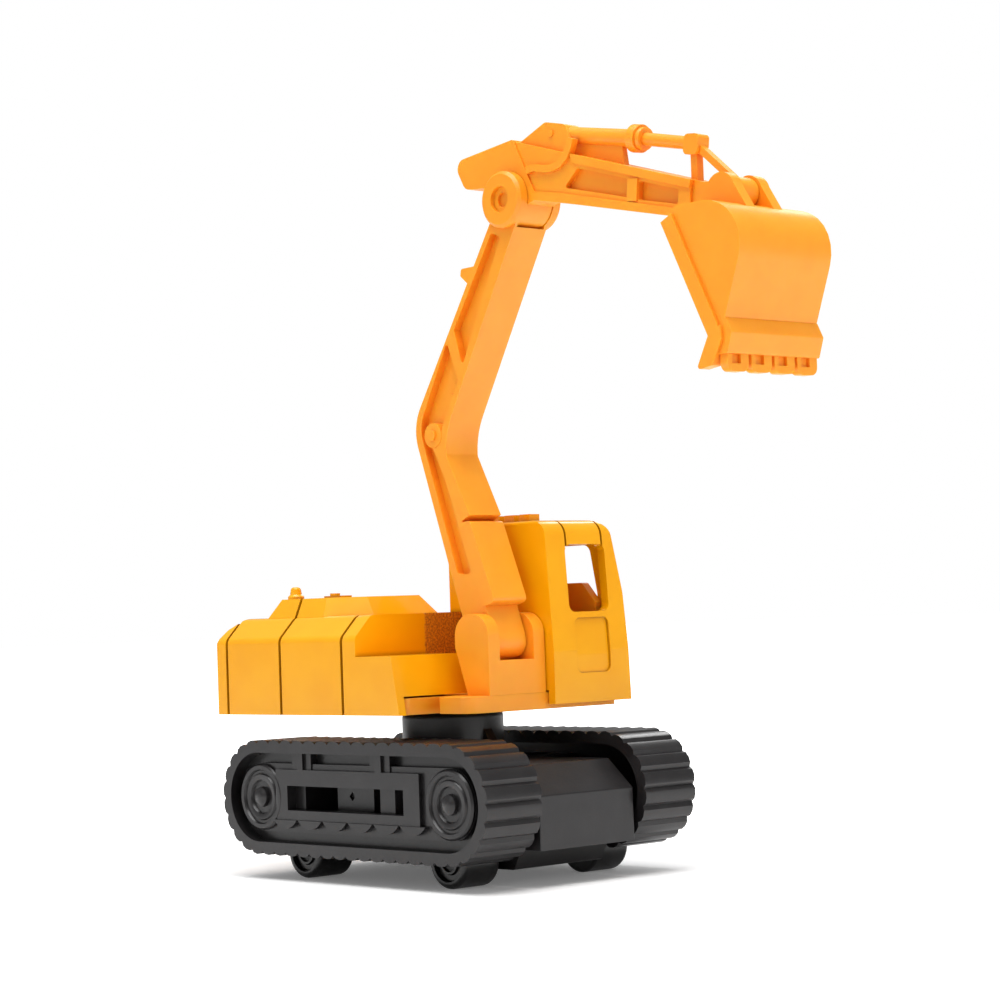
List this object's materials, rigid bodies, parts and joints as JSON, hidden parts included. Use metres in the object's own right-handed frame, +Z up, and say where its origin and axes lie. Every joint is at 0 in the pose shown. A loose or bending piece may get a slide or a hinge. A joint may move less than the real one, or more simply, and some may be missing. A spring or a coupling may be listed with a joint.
{
  "type": "toy excavator",
  "caption": "Crawler toy excavator: swivelling house with side cab, folding boom, stick and toothed bucket, rolling on small hidden wheels.",
  "frame": {"origin": "on the ground under the swivel axis of the house", "axes": "+X forward, the way the boom reaches; +Y to the driver's left, where the cab is; +Z up along the swivel axis"},
  "size_m": [0.1092, 0.0436, 0.113],
  "materials": {
    "yellow_paint": "glossy sprayed enamel",
    "orange_plastic": "satin moulded",
    "track_grey": "satin moulded",
    "chassis_black": "satin moulded",
    "wheel_black": "moulded",
    "axle_steel": "drawn",
    "screw_steel": "zinc plated"
  },
  "bodies": {
    "undercarriage": {"chassis_frame": "track_grey", "chassis_cover": "chassis_black", "chassis_screws": "screw_steel", "track_right": "track_grey", "track_left": "track_grey", "turntable_collar": "chassis_black"},
    "front_wheels": {"front_axle": "axle_steel", "wheel_front_right": "wheel_black", "wheel_front_left": "wheel_black"},
    "rear_wheels": {"rear_axle": "axle_steel", "wheel_rear_right": "wheel_black", "wheel_rear_left": "wheel_black"},
    "house": {"house_casting": "yellow_paint", "base_plate": "orange_plastic", "house_screws": "screw_steel", "cab_seat": "orange_plastic", "swivel_screw": "screw_steel", "swivel_washer": "screw_steel"},
    "boom": {"boom": "orange_plastic"},
    "stick": {"stick": "orange_plastic"},
    "bucket": {"bucket": "orange_plastic"}
  },
  "joints": [
    {"name": "swivel", "type": "hinge", "parent": "undercarriage", "child": "house", "pos_m": [0, 0, 0.0256], "axis": [0, 0, 1], "continuous": true},
    {"name": "front_axle_spin", "type": "hinge", "parent": "undercarriage", "child": "front_wheels", "pos_m": [0.01675, 0, 0.0041], "axis": [0, 1, 0], "continuous": true},
    {"name": "rear_axle_spin", "type": "hinge", "parent": "undercarriage", "child": "rear_wheels", "pos_m": [-0.01675, 0, 0.0041], "axis": [0, 1, 0], "continuous": true},
    {"name": "boom_lift", "type": "hinge", "parent": "house", "child": "boom", "pos_m": [0.0143, -0.0031, 0.0362], "axis": [0, 1, 0], "range_deg": [-18, 45]},
    {"name": "stick_swing", "type": "hinge", "parent": "boom", "child": "stick", "pos_m": [0.02279, -0.0031, 0.10226], "axis": [0, 1, 0], "range_deg": [-30, 40]},
    {"name": "bucket_curl", "type": "hinge", "parent": "stick", "child": "bucket", "pos_m": [0.06629, -0.0031, 0.09756], "axis": [0, 1, 0], "range_deg": [-75, 12]}
  ]
}
